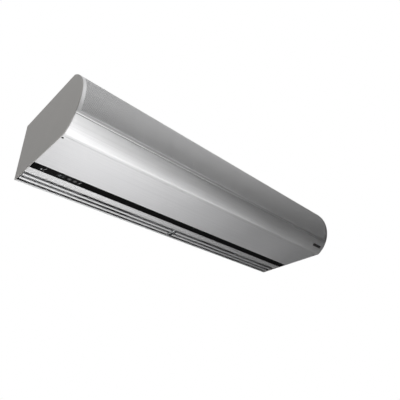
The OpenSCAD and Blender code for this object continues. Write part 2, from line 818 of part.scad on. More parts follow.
// Rolled shell of the motor
module motor_shell()
    color("#2f3438") difference() {
        rod(-bell_x, bell_x, shaft_f, shaft_z, motor_r);
        rod(-bell_x - cut, bell_x + cut, shaft_f, shaft_z, motor_r - motor_wall);
    }

// Laminated ring inside the shell
module motor_stator()
    color("#7b5a3a") difference() {
        rod(-core_l / 2, core_l / 2, shaft_f, shaft_z, motor_r - motor_wall);
        rod(-core_l / 2 - cut, core_l / 2 + cut, shaft_f, shaft_z, rotor_r + stator_gap);
    }

// Cast end bells with a bearing seat in each hub
module motor_end_bells() {
    dish_l = bell_l / 2;
    skin = 4;
    color("#3a3f43") for (s = [-1, 1]) mirror([s < 0 ? 1 : 0, 0, 0]) difference() {
        union() {
            rod(bell_x, bell_x + dish_l, shaft_f, shaft_z, motor_r);
            rod(bell_x + dish_l, bell_x + bell_l, shaft_f, shaft_z, hub_r);
        }
        rod(bell_x - cut, bell_x + dish_l - skin, shaft_f, shaft_z, motor_r - skin);
        rod(bell_x, bell_x + bell_l - skin, shaft_f, shaft_z, bearing_r);
        rod(bell_x, bell_x + bell_l + cut, shaft_f, shaft_z, shaft_r + skin / 4);
    }
}

// Ball bearings in the end bells
module motor_bearings()
    color("silver") for (s = [-1, 1]) mirror([s < 0 ? 1 : 0, 0, 0]) {
        seat = bell_x + bell_l - 4;
        difference() {
            rod(seat - bearing_w, seat, shaft_f, shaft_z, bearing_r);
            rod(seat - bearing_w - cut, seat + cut, shaft_f, shaft_z, shaft_r + running_fit);
        }
    }

// Rotor on the shaft
module motor_rotor()
    color("#8a8d90") difference() {
        rod(-core_l / 2, core_l / 2, shaft_f, shaft_z, rotor_r);
        rod(-core_l / 2 - cut, core_l / 2 + cut, shaft_f, shaft_z, shaft_r);
    }

cradle_arm_x = bell_x + bell_l - 12;

// Rubber rings that hold the hubs in the cradle
module motor_mount_rings()
    color(black) for (s = [-1, 1]) mirror([s < 0 ? 1 : 0, 0, 0]) difference() {
        rod(cradle_arm_x - cradle_t, cradle_arm_x + 2 * cradle_t, shaft_f, shaft_z,
            hub_r + ring_wall);
        rod(cradle_arm_x - 2 * cradle_t, cradle_arm_x + 3 * cradle_t, shaft_f, shaft_z, hub_r);
    }

// Hanging arm from the top of the casing with a round seat for a ring
module hanging_arm(x0, x1, seat_r) {
    wall = 6;
    top_z = half_h - panel_t;
    difference() {
        union() {
            block(x0, x1, shaft_f - cradle_w / 2, shaft_f + cradle_w / 2, shaft_z, top_z);
            rod(x0, x1, shaft_f, shaft_z, max(seat_r + wall, cradle_w / 2));
        }
        rod(x0 - cut, x1 + cut, shaft_f, shaft_z, seat_r);
    }
}

// Cradle that hangs the motor from the top of the casing
module motor_cradle()
    color(zinc) {
        for (s = [-1, 1]) mirror([s < 0 ? 1 : 0, 0, 0])
            hanging_arm(cradle_arm_x, cradle_arm_x + cradle_t, hub_r + ring_wall);
        block(-cradle_arm_x, cradle_arm_x, shaft_f - cradle_w / 2, shaft_f + cradle_w / 2,
            half_h - panel_t - cradle_t, half_h - panel_t);
    }

// Cushioned bearings at the shaft's ends
module outboard_bearings()
    color("#404448") for (x = [-1, 1] * outboard_x) difference() {
        rod(x - bearing_w / 2, x + bearing_w / 2, shaft_f, shaft_z, bearing_r);
        rod(x - bearing_w, x + bearing_w, shaft_f, shaft_z, shaft_r + running_fit);
    }

// Brackets that hang the outboard bearings from the top
module bearing_brackets()
    color(zinc) for (s = [-1, 1]) mirror([s < 0 ? 1 : 0, 0, 0]) {
        hanging_arm(outboard_x - cradle_t / 2, outboard_x + cradle_t / 2, bearing_r);
        block(outboard_x + cradle_t / 2, outboard_x + bracket_foot, shaft_f - cradle_w / 2,
            shaft_f + cradle_w / 2, half_h - panel_t - cradle_t, half_h - panel_t);
    }

box_x0 = -inner_x;
box_x1 = -inner_x + box_l;
box_z0 = -half_h + box_lift;
box_z1 = box_z0 + box_h;

// Steel box against the left end cap, open below
module terminal_box()
    color(zinc) difference() {
        block(box_x0, box_x1, box_f, box_f + box_d, box_z0, box_z1);
        block(box_x0 + sheet_t, box_x1 - sheet_t, box_f + sheet_t, box_f + box_d - sheet_t,
            box_z0 - cut, box_z1 - sheet_t);
    }

// Lid under the terminal box
module terminal_box_lid()
    color(zinc) block(box_x0, box_x1, box_f, box_f + box_d, box_z0 - sheet_t, box_z0);

// Row of screw terminals under the box's top
module terminal_block() {
    poles = 5;
    pole_w = 12;
    pole_d = 24;
    pole_h = 18;
    screw_r = 2.5;
    start_x = (box_x0 + box_x1 - poles * pole_w) / 2;
    mid_f = box_f + box_d / 2;
    top_z = box_z1 - sheet_t;
    color("#d9d4c4") difference() {
        block(start_x, start_x + poles * pole_w, mid_f - pole_d / 2, mid_f + pole_d / 2,
            top_z - pole_h, top_z);
        for (k = [0 : poles - 1], s = [-1, 1])
            post(start_x + (k + 0.5) * pole_w, mid_f + s * pole_d / 4,
                top_z - pole_h - cut, top_z - pole_h / 2, screw_r);
    }
}

// Rubber grommet in the cable entry
module cable_grommet() {
    rim_w = 3;
    rim_t = 2;
    color(black) translate([cable_x, 0, 0]) rotate([90, 0, 0]) difference() {
        union() {
            cylinder(h = panel_t, r = grommet_r);
            translate([0, 0, panel_t]) cylinder(h = rim_t, r = grommet_r + rim_w);
        }
        translate([0, 0, -cut]) cylinder(h = panel_t + rim_t + 2 * cut, r = cable_r);
    }
}

capacitor_f = shaft_f + cradle_w / 2 + capacitor_gap + capacitor_r;
capacitor_z = half_h - panel_t - capacitor_r;

// Motor's run capacitor, held under the top
module run_capacitor()
    color("#c9ccce") rod(-capacitor_l / 2, capacitor_l / 2, capacitor_f, capacitor_z, capacitor_r);

// Strap round the capacitor, fixed to the top by its ears
module capacitor_clamp() {
    strap_w = 14;
    strap_t = 1.2;
    ear = 12;
    color(zinc) {
        difference() {
            union() {
                rod(-strap_w / 2, strap_w / 2, capacitor_f, capacitor_z, capacitor_r + strap_t);
                block(-strap_w / 2, strap_w / 2, capacitor_f - capacitor_r - strap_t,
                    capacitor_f + capacitor_r + strap_t, capacitor_z, half_h - panel_t);
            }
            rod(-strap_w, strap_w, capacitor_f, capacitor_z, capacitor_r);
            block(-strap_w, strap_w, capacitor_f - capacitor_r, capacitor_f + capacitor_r,
                capacitor_z, half_h);
            block(-strap_w, strap_w, capacitor_f - 2 * capacitor_r, capacitor_f + 2 * capacitor_r,
                half_h - panel_t, half_h + cut);
        }
        for (s = [-1, 1])
            block(-strap_w / 2, strap_w / 2,
                min(capacitor_f + s * (capacitor_r + strap_t),
                    capacitor_f + s * (capacitor_r + strap_t + ear)),
                max(capacitor_f + s * (capacitor_r + strap_t),
                    capacitor_f + s * (capacitor_r + strap_t + ear)),
                half_h - panel_t - strap_t, half_h - panel_t);
    }
}

chassis();
end_cap_left();
end_cap_right();
casing_screws();
stiffener_brackets();
suspension_nuts();
intake_grille();
grille_hinge_pins();
filter_frame();
filter_mesh();
lower_front_panel();
bottom_panel();
bottom_screws();
badge_plate();
control_strip();
keypad_plate();
display_window();
indicator_lens();
button_up();
button_down();
button_switches();
control_board();
board_standoffs();
nozzle_rail_front();
nozzle_rail_rear();
vane_front();
vane_rear();
vane_pins_front();
vane_pins_rear();
vane_end_brackets();
vane_centre_bracket();
blower_deck();
blower_housing_left();
blower_housing_right();
blower_wheel_left();
blower_wheel_right();
wheel_set_screws();
fan_shaft();
motor_shell();
motor_stator();
motor_end_bells();
motor_bearings();
motor_rotor();
motor_mount_rings();
motor_cradle();
outboard_bearings();
bearing_brackets();
terminal_box();
terminal_box_lid();
terminal_block();
cable_grommet();
run_capacitor();
capacitor_clamp();
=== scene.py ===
import math

import bpy
from mathutils import Matrix, Vector


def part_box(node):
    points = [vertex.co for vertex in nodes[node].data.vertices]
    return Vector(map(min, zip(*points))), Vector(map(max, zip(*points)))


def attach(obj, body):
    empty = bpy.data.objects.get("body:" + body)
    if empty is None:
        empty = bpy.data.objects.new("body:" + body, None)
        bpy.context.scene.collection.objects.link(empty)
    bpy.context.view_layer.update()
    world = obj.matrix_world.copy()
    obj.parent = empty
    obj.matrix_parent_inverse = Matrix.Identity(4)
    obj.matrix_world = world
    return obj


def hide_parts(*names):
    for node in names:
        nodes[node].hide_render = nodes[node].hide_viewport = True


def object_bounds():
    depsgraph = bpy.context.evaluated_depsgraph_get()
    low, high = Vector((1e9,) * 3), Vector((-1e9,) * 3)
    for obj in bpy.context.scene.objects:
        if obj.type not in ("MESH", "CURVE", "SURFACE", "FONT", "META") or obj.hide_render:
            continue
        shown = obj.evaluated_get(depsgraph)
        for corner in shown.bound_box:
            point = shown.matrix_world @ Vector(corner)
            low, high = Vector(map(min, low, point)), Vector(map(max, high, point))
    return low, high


# Metres, with the wall at y = 0, the front towards -y and z up
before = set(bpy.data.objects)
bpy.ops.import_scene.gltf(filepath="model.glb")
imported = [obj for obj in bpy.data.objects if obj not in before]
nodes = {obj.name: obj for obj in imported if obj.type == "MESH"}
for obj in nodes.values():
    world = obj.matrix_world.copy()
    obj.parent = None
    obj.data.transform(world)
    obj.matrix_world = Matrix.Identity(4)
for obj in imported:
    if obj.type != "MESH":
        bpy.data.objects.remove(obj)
cad_low, cad_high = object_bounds()


# Chassis
# One folded sheet of zinc-coated steel makes the top and the back, with stiffening brackets and
# captive nuts inside. The same sheet makes the blower deck and the hanging brackets.

def shader_group(name, inputs, outputs):
    """A node group with float inputs {name: default} and outputs {name: socket type}."""
    group = bpy.data.node_groups.new(name, "ShaderNodeTree")
    for label, default in inputs.items():
        socket = group.interface.new_socket(label, in_out="INPUT", socket_type="NodeSocketFloat")
        socket.default_value = default
    for label, kind in outputs.items():
        group.interface.new_socket(label, in_out="OUTPUT", socket_type=kind)
    return group, group.nodes.new("NodeGroupInput"), group.nodes.new("NodeGroupOutput")


def add(tree, kind, **settings):
    """A node with its own properties set."""
    node = tree.nodes.new(kind)
    for key, value in settings.items():
        setattr(node, key, value)
    return node


def stretched_noise(group, given, scale_xyz, fineness, detail):
    """Noise in the object's own metres, drawn out by three scales times a group input."""
    coords = group.nodes.new("ShaderNodeTexCoord")
    mapping = group.nodes.new("ShaderNodeMapping")
    mapping.inputs["Scale"].default_value = scale_xyz
    noise = group.nodes.new("ShaderNodeTexNoise")
    noise.inputs["Detail"].default_value = detail
    group.links.new(coords.outputs["Object"], mapping.inputs["Vector"])
    group.links.new(mapping.outputs["Vector"], noise.inputs["Vector"])
    group.links.new(given.outputs[fineness], noise.inputs["Scale"])
    return noise


def ramp_between(group, source, low, high, target):
    """Spreads the stretch of source from low to high over 0 to 1."""
    spread = add(group, "ShaderNodeMapRange", clamp=True)
    spread.inputs["From Min"].default_value = low
    spread.inputs["From Max"].default_value = high
    group.links.new(source, spread.inputs["Value"])
    group.links.new(spread.outputs["Result"], target)


# Soft uneven patches, as fingers and cloths leave on metal
smudges, given, out = shader_group("soft smudges", {"Size": 9.0}, {"Patches": "NodeSocketFloat"})
cloud = stretched_noise(smudges, given, (1, 1, 1), "Size", 3)
ramp_between(smudges, cloud.outputs["Fac"], 0.35, 0.68, out.inputs["Patches"])

# Fine lines drawn along the length by the brush or the die
along_lines, given, out = shader_group(
    "lines along the length", {"Fineness": 1.0}, {"Lines": "NodeSocketFloat"})
streaks = stretched_noise(along_lines, given, (2.5, 900, 900), "Fineness", 4)
ramp_between(along_lines, streaks.outputs["Fac"], 0.3, 0.7, out.inputs["Lines"])

# Zinc crystals, each with its own tone
spangle, given, out = shader_group("zinc spangle", {"Crystals": 110.0}, {"Tone": "NodeSocketFloat"})
coords = spangle.nodes.new("ShaderNodeTexCoord")
crystal = add(spangle, "ShaderNodeTexVoronoi", feature="F1")
spangle.links.new(coords.outputs["Object"], crystal.inputs["Vector"])
spangle.links.new(given.outputs["Crystals"], crystal.inputs["Scale"])
spangle.links.new(crystal.outputs["Color"], out.inputs["Tone"])


def material(name, metallic, roughness):
    """A material with its Principled shader."""
    made = bpy.data.materials.new(name)
    made.use_nodes = True
    surface = made.node_tree.nodes["Principled BSDF"]
    surface.inputs["Metallic"].default_value = metallic
    surface.inputs["Roughness"].default_value = roughness
    return made, made.node_tree, surface


def effect(tree, group, output, **values):
    """Places a node group with its values and gives one of its outputs."""
    node = add(tree, "ShaderNodeGroup", node_tree=group)
    for label, value in values.items():
        node.inputs[label].default_value = value
    return node.outputs[output]


def tint(tree, mask, low, high, target):
    """Mixes two colours by a mask into a colour socket."""
    mix = add(tree, "ShaderNodeMix", data_type="RGBA")
    mix.inputs["A"].default_value = (*low, 1)
    mix.inputs["B"].default_value = (*high, 1)
    tree.links.new(mask, mix.inputs["Factor"])
    tree.links.new(mix.outputs["Result"], target)


def level(tree, mask, low, high, target):
    """Spreads a mask over a stretch of values into a value socket."""
    spread = add(tree, "ShaderNodeMapRange", clamp=True)
    spread.inputs["To Min"].default_value = low
    spread.inputs["To Max"].default_value = high
    tree.links.new(mask, spread.inputs["Value"])
    tree.links.new(spread.outputs["Result"], target)


def relief(tree, surface, mask, strength, depth):
    """Bumps the surface by a mask."""
    bump = tree.nodes.new("ShaderNodeBump")
    bump.inputs["Strength"].default_value = strength
    bump.inputs["Distance"].default_value = depth
    tree.links.new(mask, bump.inputs["Height"])
    tree.links.new(bump.outputs["Normal"], surface.inputs["Normal"])


def dress(finish, *names):
    """Gives CAD nodes a finish."""
    for name in names:
        nodes[name].data.materials.clear()
        nodes[name].data.materials.append(finish)


zinc_sheet, tree, surface = material("zinc_sheet", 1, 0.42)
tone = effect(tree, spangle, "Tone", Crystals=95)
tint(tree, tone, (0.66, 0.67, 0.68), (0.82, 0.83, 0.84), surface.inputs["Base Color"])
level(tree, tone, 0.36, 0.52, surface.inputs["Roughness"])
relief(tree, surface, effect(tree, smudges, "Patches", Size=30), 0.12, 0.0006)
dress(zinc_sheet, "chassis", "stiffener_brackets", "vane_centre_bracket", "blower_deck",
      "motor_cradle", "bearing_brackets")

fastener_steel, tree, surface = material("fastener_steel", 1, 0.34)
marks = effect(tree, smudges, "Patches", Size=220)
tint(tree, marks, (0.42, 0.42, 0.41), (0.58, 0.58, 0.57), surface.inputs["Base Color"])
level(tree, marks, 0.28, 0.45, surface.inputs["Roughness"])
dress(fastener_steel, "suspension_nuts", "grille_hinge_pins", "vane_pins_front", "vane_pins_rear",
      "board_standoffs")


# End caps
# Flat aluminium plates 2.5 mm thick, satin anodised a shade darker than the panels. Three flanges
# are bent inwards, and the casing's screws go into the top one. The front panels follow the
# plates' outline.

half_length = cad_high.x
half_height = cad_high.z
nose_front = -cad_low.y
inner_cap_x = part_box("lower_front_panel")[1].x
cap_thickness = 0.0025
nose_radius = 0.119
nose_centre = nose_front - nose_radius
top_corner_radius = 0.003
low_corner_radius = 0.007
arc_step = math.radians(2)
sharp_angle = math.radians(35)
eased_angle = math.radians(40)
cap_easing = 0.0004
sheet_easing = 0.0003


def arc(centre_f, centre_z, radius, start, end):
    """Points round an arc in the side view, as (distance from the wall, height)."""
    steps = max(3, math.ceil(abs(end - start) / arc_step))
    angles = [start + (end - start) * k / steps for k in range(steps + 1)]
    return [(centre_f + radius * math.cos(a), centre_z + radius * math.sin(a)) for a in angles]


def corner_angle(radius):
    """Where a corner's rounding meets the nose, above or below the horizontal."""
    return math.asin((half_height - radius) / (nose_radius - radius))


def corner_arc(radius, inset, upper):
    """The rounding between the nose and the top or the underside, set in by a thickness."""
    turn = corner_angle(radius)
    centre_f = nose_centre + (nose_radius - radius) * math.cos(turn)
    centre_z = half_height - radius
    if upper:
        return arc(centre_f, centre_z, radius - inset, turn, math.pi / 2)
    return arc(centre_f, -centre_z, radius - inset, -math.pi / 2, -turn)


def new_piece(name, points, faces, finish):
    """An object with its own mesh and finish."""
    mesh = bpy.data.meshes.new(name)
    mesh.from_pydata(points, [], faces)
    mesh.materials.append(finish)
    piece = bpy.data.objects.new(name, mesh)
    bpy.context.scene.collection.objects.link(piece)
    return piece


def ease_edges(piece, width):
    """Rounds a piece's sharp edges a little."""
    ease = piece.modifiers.new("eased edges", "BEVEL")
    ease.width = width
    ease.segments = 2
    ease.limit_method = "ANGLE"
    ease.angle_limit = eased_angle
    ease.harden_normals = True


def prism_faces(count):
    """Faces between two rings of points, and over both ends."""
    faces = [(k, (k + 1) % count, count + (k + 1) % count, count + k) for k in range(count)]
    faces.append(tuple(range(count - 1, -1, -1)))
    faces.append(tuple(range(count, 2 * count)))
    return faces


def extrusion(name, outline, x_low, x_high, finish, body, easing):
    """A closed outline in the side view pulled along the length."""
    points = [(x, -f, z) for x in (x_low, x_high) for f, z in outline]
    piece = new_piece(name, points, prism_faces(len(outline)), finish)
    mesh = piece.data
    mesh.polygons.foreach_set("use_smooth", [True] * len(mesh.polygons))
    mesh.set_sharp_from_angle(angle=sharp_angle)
    if easing:
        ease_edges(piece, easing)
    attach(piece, body)
    return piece


cap_finish, tree, surface = material("cap_satin_anodised", 1, 0.48)
grain = effect(tree, smudges, "Patches", Size=2600)
patches = effect(tree, smudges, "Patches", Size=5)
tint(tree, patches, (0.5, 0.49, 0.475), (0.57, 0.557, 0.54), surface.inputs["Base Color"])
level(tree, patches, 0.46, 0.54, surface.inputs["Roughness"])
relief(tree, surface, grain, 0.15, 0.0001)

cap_outline = ([(0, -half_height)] + corner_arc(low_corner_radius, 0, False)
               + arc(nose_centre, 0, nose_radius, -corner_angle(low_corner_radius),
                     corner_angle(top_corner_radius))[1:-1]
               + corner_arc(top_corner_radius, 0, True) + [(0, half_height)])
sheet = 0.002
flange_thickness = 0.0015
flange_length = 0.012

# Where each flange starts and ends: along the depth at the top and below, in height at the back
top_flange = (0.02, 0.2789)
back_flange = (-0.024, 0.0845)
low_flange = (0.1395, 0.2674)
for side, node in ((-1, "end_cap_left"), (1, "end_cap_right")):
    plate_x = sorted((side * half_length, side * (half_length - cap_thickness)))
    flange_x = sorted((side * (half_length - cap_thickness),
                       side * (half_length - cap_thickness - flange_length)))
    plate = extrusion(node + "_plate", cap_outline, *plate_x, cap_finish, "root", cap_easing)
    flanges = [
        extrusion(node + "_flange", [(f0, z0), (f1, z0), (f1, z1), (f0, z1)], *flange_x,
                  cap_finish, "root", sheet_easing)
        for f0, f1, z0, z1 in (
            (*top_flange, half_height - sheet - flange_thickness, half_height - sheet),
            (sheet, sheet + flange_thickness, *back_flange),
            (*low_flange, -half_height + sheet, -half_height + sheet + flange_thickness))]
    for piece in [plate] + flanges:
        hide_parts(node)


# Lower front panel
# An extruded aluminium section, brushed and anodised along its length. It turns the corner to the
# underside, and a stepped lip along its upper edge takes the grille. The lip is coloured near-black
# as painted shade, so that the seam under the grille reads as a dark line.

seam_angle = math.radians(32.5)
seam_half_gap = math.radians(0.25)
service_front = -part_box("bottom_panel")[0].y
panel_gap = 0.0003
lip_thickness = 0.002
lip_width = 0.010
ledge_width = 0.013

panel_finish, tree, surface = material("panel_brushed", 1, 0.3)
lines = effect(tree, along_lines, "Lines", Fineness=1)
patches = effect(tree, smudges, "Patches", Size=4)
tint(tree, lines, (0.8, 0.8, 0.805), (0.9, 0.9, 0.905), surface.inputs["Base Color"])
level(tree, patches, 0.28, 0.34, surface.inputs["Roughness"])
relief(tree, surface, lines, 0.1, 0.0002)

nose_low = corner_angle(low_corner_radius)
inside = nose_radius - sheet
lip_outer = inside - panel_gap
lip_inner = lip_outer - lip_thickness
lip_turn = lip_width / nose_radius
seam_low = -seam_angle - seam_half_gap
shelf_top = -half_height + sheet + lip_thickness
low_inner_turn = math.asin(-shelf_top / inside)
front_section = (
    [(service_front + panel_gap, -half_height)]
    + corner_arc(low_corner_radius, 0, False)
    + arc(nose_centre, 0, nose_radius, -nose_low, seam_low)[1:]
    + arc(nose_centre, 0, inside, seam_low, -low_inner_turn)
    + [(service_front - ledge_width, shelf_top),
       (service_front - ledge_width, -half_height + sheet),
       (service_front + panel_gap, -half_height + sheet)])
front_panel = extrusion("lower_front_section", front_section, -inner_cap_x, inner_cap_x,
                        panel_finish, "root", sheet_easing)
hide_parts("lower_front_panel")

# Painted shade: the lip is coloured near-black so that the groove of the seam reads dark
lip_seam_shade_finish, tree, surface = material("lip_painted_seam_shade", 0, 0.7)
patches = effect(tree, smudges, "Patches", Size=90)
tint(tree, patches, (0.01, 0.01, 0.01), (0.02, 0.02, 0.02), surface.inputs["Base Color"])
level(tree, patches, 0.6, 0.8, surface.inputs["Roughness"])

lip_section = (
    arc(nose_centre, 0, inside, -seam_angle - lip_turn, seam_low)
    + arc(nose_centre, 0, lip_outer, seam_low, -seam_angle + lip_turn / 2)
    + arc(nose_centre, 0, lip_inner, -seam_angle + lip_turn / 2, -seam_angle - lip_turn))
lip = extrusion("lower_front_lip", lip_section, -inner_cap_x, inner_cap_x, lip_seam_shade_finish, "root", 0)
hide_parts("lower_front_panel")


# Service panel
# A flat brushed sheet that closes the underside, turned up along its rear edge, with a flush
# screw at each front corner. It comes off to reach the motor and the wiring.

service_finish, tree, surface = material("service_brushed", 1, 0.34)
lines = effect(tree, along_lines, "Lines", Fineness=0.8)
patches = effect(tree, smudges, "Patches", Size=3)
tint(tree, lines, (0.78, 0.78, 0.79), (0.86, 0.86, 0.87), surface.inputs["Base Color"])
level(tree, patches, 0.3, 0.36, surface.inputs["Roughness"])
relief(tree, surface, lines, 0.08, 0.0002)
dress(service_finish, "bottom_panel")
service_easing = 0.001
ease_edges(nodes["bottom_panel"], service_easing)

dark_steel, tree, surface = material("dark_screw_steel", 1, 0.4)
marks = effect(tree, smudges, "Patches", Size=400)
tint(tree, marks, (0.012, 0.012, 0.012), (0.03, 0.03, 0.03), surface.inputs["Base Color"])
level(tree, marks, 0.4, 0.6, surface.inputs["Roughness"])
dress(dark_steel, "wheel_set_screws")

# The cross recess, as shares of the head's radius
recess_arm_share = 0.62
recess_half_width_share = 0.15
recess_floor_share = 0.8
recess_depth = 0.0011
head_chamfer = 0.0003
turn_slack = 1e-6


def screw(name, place, radius, thickness, shank, upward, finish, node):
    """A flush screw with a cross recess in its face, and a plain shank behind its head."""
    corner = math.atan2(recess_half_width_share, recess_arm_share)
    quarter = (0, corner, math.pi / 6, math.pi / 4, math.pi / 3, math.pi / 2 - corner)
    turns = [q * math.pi / 2 + a for q in range(4) for a in quarter]

    def cross(turn):
        """How far out the recess's edge lies in a direction."""
        across = min(turn % (math.pi / 2), math.pi / 2 - turn % (math.pi / 2))
        if across <= corner + turn_slack:
            return recess_arm_share * radius / math.cos(across)
        return recess_half_width_share * radius / math.sin(across)

    shank_radius = radius / 2
    rings = [[(shank_radius, thickness + shank)] * len(turns),
             [(shank_radius, thickness)] * len(turns),
             [(radius, thickness)] * len(turns),
             [(radius, head_chamfer)] * len(turns),
             [(radius - head_chamfer, 0)] * len(turns),
             [(cross(turn), 0) for turn in turns],
             [(recess_floor_share * cross(turn), recess_depth) for turn in turns]]
    way = 1 if upward else -1
    points = [(place[0] + r * math.cos(turn), place[1] + way * r * math.sin(turn),
               place[2] - way * depth)
              for ring in rings for turn, (r, depth) in zip(turns, ring)]
    count = len(turns)
    faces = [(n * count + k, n * count + (k + 1) % count, (n + 1) * count + (k + 1) % count,
              (n + 1) * count + k) for n in range(len(rings) - 1) for k in range(count)]
    faces.append(tuple(range(count - 1, -1, -1)))
    points.append((place[0], place[1], place[2] - way * recess_depth))
    last = (len(rings) - 1) * count
    faces += [(last + k, last + (k + 1) % count, len(points) - 1) for k in range(count)]
    piece = new_piece(name, points, faces, finish)
    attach(piece, "root")
    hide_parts(node)
    return piece


service_shank = 0.004
casing_screw_count = 3
low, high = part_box("bottom_screws")
head_radius = (high.y - low.y) / 2
for side in (-1, 1):
    place = (side * (high.x - head_radius), (low.y + high.y) / 2, low.z)
    screw(f"service_screw_{side + 1}", place, head_radius, sheet, service_shank, False,
                  dark_steel, "bottom_screws")

low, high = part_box("casing_screws")
for side in (-1, 1):
    for k in range(casing_screw_count):
        reach = (high.y - low.y - 2 * head_radius) * k / (casing_screw_count - 1)
        place = (side * (high.x - head_radius), low.y + head_radius + reach, high.z)
        screw(f"casing_screw_{side + 1}_{k}", place, head_radius, sheet,
                      high.z - low.z - sheet, True, fastener_steel, "casing_screws")


# Intake grille
# A curved aluminium sheet with about 20,000 small round holes inside a plain border, rolled
# round its hinge pins along the top edge. It swings up and out to reach the filter.

grille_finish, tree, surface = material("grille_satin_anodised", 1, 0.36)
patches = effect(tree, smudges, "Patches", Size=6)
grain = effect(tree, along_lines, "Lines", Fineness=0.7)
tint(tree, grain, (0.8, 0.8, 0.805), (0.88, 0.88, 0.885), surface.inputs["Base Color"])
level(tree, patches, 0.28, 0.3, surface.inputs["Roughness"])

# The walls inside the holes are rougher than the face, and coloured darker as painted shade in the
# holes
hole_wall_shade_finish, tree, surface = material("hole_walls_painted_shade", 1, 0.5)
hole_wall_patches = effect(tree, smudges, "Patches", Size=900)
tint(tree, hole_wall_patches, (0.26, 0.26, 0.26), (0.34, 0.34, 0.34), surface.inputs["Base Color"])

field_sheet = 0.0009
low_edge = 0.010
end_edge = 0.009
top_edge = 0.017
hole_pitch = 0.0034
hole_radius = 0.00115
hole_sides = 6
sheet_pieces = 4
grille_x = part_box("intake_grille")[1].x
barrel_turn = corner_angle(top_corner_radius)
grille_low = -seam_angle + seam_half_gap
field_low = grille_low + low_edge / nose_radius
field_high = barrel_turn - top_edge / nose_radius
field_x = grille_x - end_edge
hole_columns = round(2 * field_x / hole_pitch)
hole_rows = round((field_high - field_low) * nose_radius / (hole_pitch * math.cos(math.pi / 6)))
half_column = field_x / hole_columns
third_row = (field_high - field_low) / (3 * hole_rows + 1)


def on_nose(x, turn):
    """A point on the curved front."""
    return (x, -(nose_centre + nose_radius * math.cos(turn)), nose_radius * math.sin(turn))


def sheet_piece(name, points, faces):
    """A curved sheet given by its outer face, with its thickness added inwards."""
    piece = new_piece(name, points, faces, grille_finish)
    mesh = piece.data
    mesh.materials.append(hole_wall_shade_finish)
    mesh.validate()
    mesh.polygons.foreach_set("use_smooth", [True] * len(mesh.polygons))
    thick = piece.modifiers.new("sheet thickness", "SOLIDIFY")
    thick.thickness = field_sheet
    thick.offset = -1
    thick.material_offset_rim = 1
    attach(piece, "grille")
    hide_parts("intake_grille")


def perforated_stretch(name, first, last):
    """Staggered rows of holes between two columns, each in a six-sided cell of the sheet."""
    points = []
    faces = []
    index = {}

    def corner(i, j, row):
        """A cell's corner, made once. The first and the last row reach the field's edges."""
        if row == 0 and j < 2:
            j = 0
        if row == hole_rows - 1 and j > 3 * row + 2:
            j = 3 * hole_rows + 1
        if (i, j) not in index:
            index[i, j] = len(points)
            points.append(on_nose(-field_x + i * half_column, field_low + j * third_row))
        return index[i, j]

    for row in range(hole_rows):
        shift = row % 2
        middle = 3 * row + 2
        for column in range(first, min(last, hole_columns - shift)):
            i = 2 * column + 1 + shift
            cell = [corner(i + a, middle + b, row) for a, b in (
                (1, -1), (1, 1), (0, 2), (-1, 1), (-1, -1), (0, -2))]
            start = len(points)
            for k in range(hole_sides):
                a = math.tau * (k - 0.5) / hole_sides
                points.append(on_nose(
                    -field_x + i * half_column + hole_radius * math.cos(a),
                    field_low + middle * third_row + hole_radius / nose_radius * math.sin(a)))
            for k in range(hole_sides):
                after = (k + 1) % hole_sides
                faces.append((cell[k], cell[after], start + after, start + k))
        # Every other row ends in half cells without a hole
        if shift and first == 0:
            faces.append([corner(a, middle + b, row) for a, b in (
                (0, -2), (1, -1), (1, 1), (0, 2))])
        if shift and last == hole_columns:
            end = 2 * hole_columns
            faces.append([corner(end - a, middle + b, row) for a, b in (
                (1, -1), (0, -2), (0, 2), (1, 1))])
    sheet_piece(name, points, faces)


for k in range(sheet_pieces):
    perforated_stretch(f"grille_field_{k}", hole_columns * k // sheet_pieces,
                       hole_columns * (k + 1) // sheet_pieces)


# The sheet's lower edge is rolled in
roll_length = 0.0026
roll_start = grille_low + roll_length / nose_radius
roll_steps = 8
rolled_edge = []
for k in range(roll_steps):
    a = math.pi / 2 * (1 - k / roll_steps)
    turn = roll_start - roll_length / nose_radius * math.sin(a)
    reach = nose_radius - sheet * (1 - math.cos(a))
    rolled_edge.append((nose_centre + reach * math.cos(turn), reach * math.sin(turn)))
low_section = (rolled_edge + arc(nose_centre, 0, nose_radius, roll_start, field_low)
               + arc(nose_centre, 0, nose_radius - sheet, field_low, grille_low)[:-1])
low_border = extrusion("grille_low_border", low_section, -grille_x, grille_x, grille_finish,
                       "grille", 0)

# Its upper edge is rolled round the hinge pins
barrel_wrap = math.radians(300)
barrel_lap = 0.02
barrel_f = nose_centre + (nose_radius - top_corner_radius) * math.cos(barrel_turn)
barrel_z = half_height - top_corner_radius
barrel_section = (
    arc(nose_centre, 0, nose_radius, field_high, barrel_turn)
    + arc(barrel_f, barrel_z, top_corner_radius, barrel_turn, barrel_turn + barrel_wrap)[1:]
    + arc(nose_centre, 0, nose_radius - sheet, barrel_turn - barrel_lap, field_high))
top_border = extrusion("grille_top_border", barrel_section, -grille_x, grille_x,
                       grille_finish, "grille", 0)
end_section = (arc(nose_centre, 0, nose_radius, field_low, field_high)
               + arc(nose_centre, 0, nose_radius - sheet, field_high, field_low))
ends = [
    extrusion("grille_end_border", end_section, *sorted((side * grille_x, side * field_x)),
              grille_finish, "grille", 0)
    for side in (-1, 1)]
for piece in [low_border, top_border] + ends:
    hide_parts("intake_grille")


# Filter
# A curved aluminium frame in six bays that lies on the back of the grille, with fine expanded
# mesh across it. It comes out to be washed.

# Painted shade: the frame is coloured near-black, so that it reads as the shade behind the grille
frame_shade_finish, tree, surface = material("filter_frame_mill_painted_shade", 1, 0.45)
grain = effect(tree, along_lines, "Lines", Fineness=0.4)
tint(tree, grain, (0.1, 0.1, 0.105), (0.15, 0.15, 0.155), surface.inputs["Base Color"])
level(tree, grain, 0.4, 0.55, surface.inputs["Roughness"])
dress(frame_shade_finish, "filter_frame")

